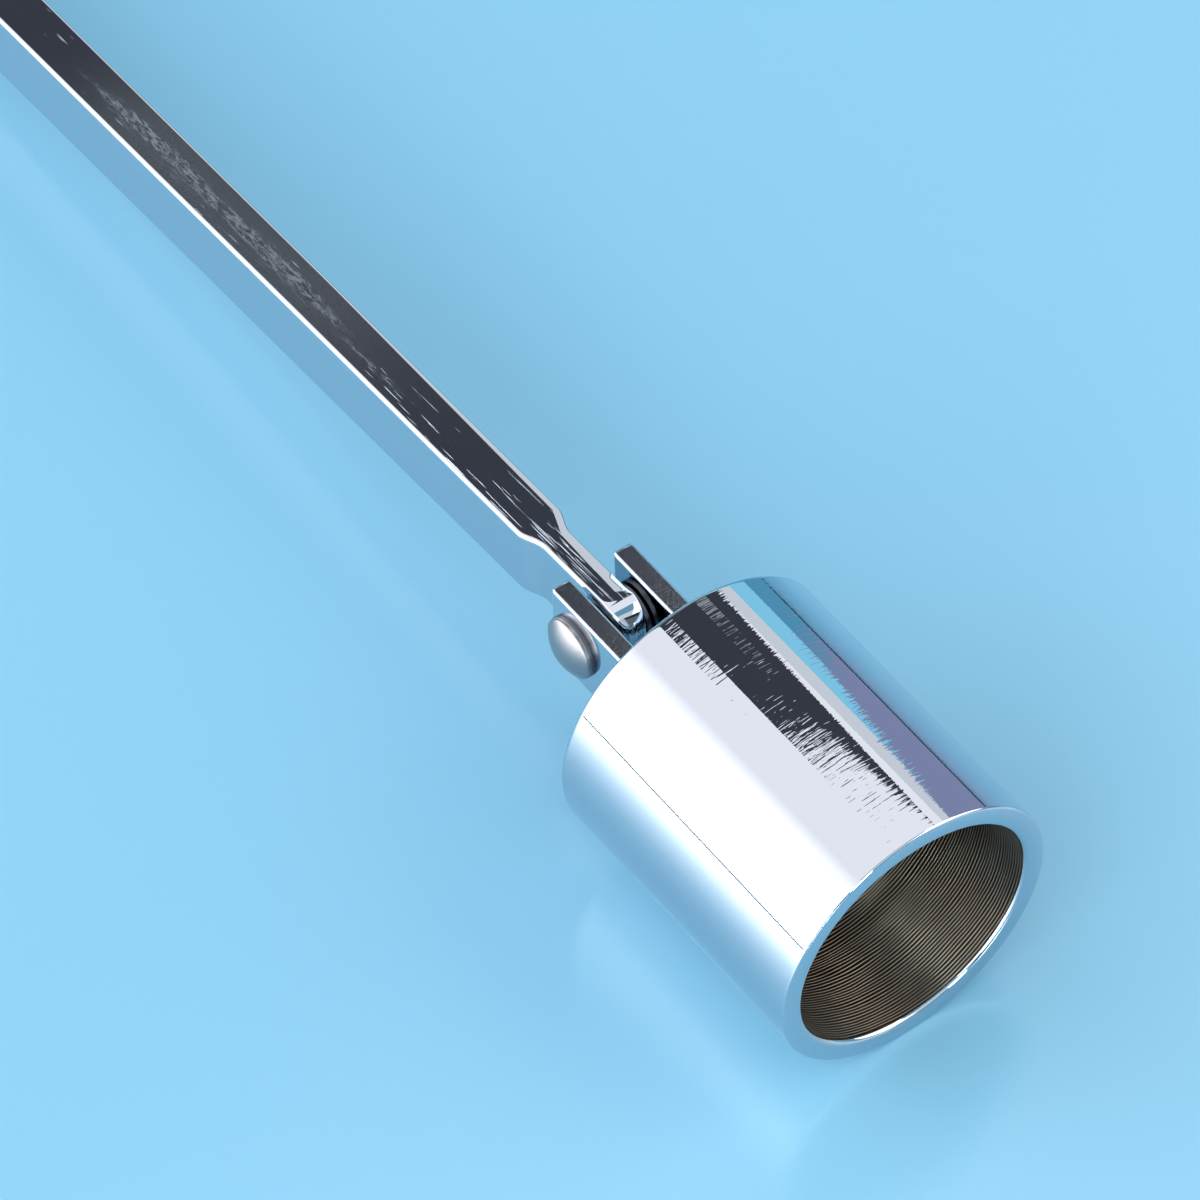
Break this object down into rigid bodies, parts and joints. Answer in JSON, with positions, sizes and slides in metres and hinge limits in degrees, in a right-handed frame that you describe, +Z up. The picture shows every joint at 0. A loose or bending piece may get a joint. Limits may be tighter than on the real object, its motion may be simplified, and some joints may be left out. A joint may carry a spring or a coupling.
{
  "type": "candle snuffer",
  "caption": "Candle snuffer: a turned metal cup with an open mouth swings in a riveted clevis at the end of a long bar handle, to put out a candle flame.",
  "frame": {"origin": "on the table under the snuffer, midway along it and under the cup's and handle's centre line", "axes": "+X from the handle to the cup's mouth, along the cup's axis; +Y along the pivot rivet, from its head to its tail; +Z up from the table"},
  "size_m": [0.212, 0.028, 0.028],
  "materials": {
    "cup_chrome": "polished, with fine turning rings",
    "handle_chrome": "polished, with fine lengthwise grinding lines",
    "clevis_steel": "polished faces and grainy sheared edges",
    "screw_steel": "satin",
    "rivet_steel": "satin dome",
    "washer_steel": "dark satin"
  },
  "bodies": {
    "handle": {"handle": "handle_chrome"},
    "cup": {"cup": "cup_chrome", "clevis": "clevis_steel", "clevis_screw": "screw_steel", "pivot_rivet": "rivet_steel", "head_washer": "washer_steel", "tail_washer": "washer_steel", "head_side_spacer": "washer_steel", "tail_side_spacer": "washer_steel"}
  },
  "joints": [
    {"name": "cup_swing", "type": "hinge", "parent": "handle", "child": "cup", "pos_m": [0.06376, 0, 0.014], "axis": [0, 1, 0], "range_deg": [-117, 110.5]}
  ]
}
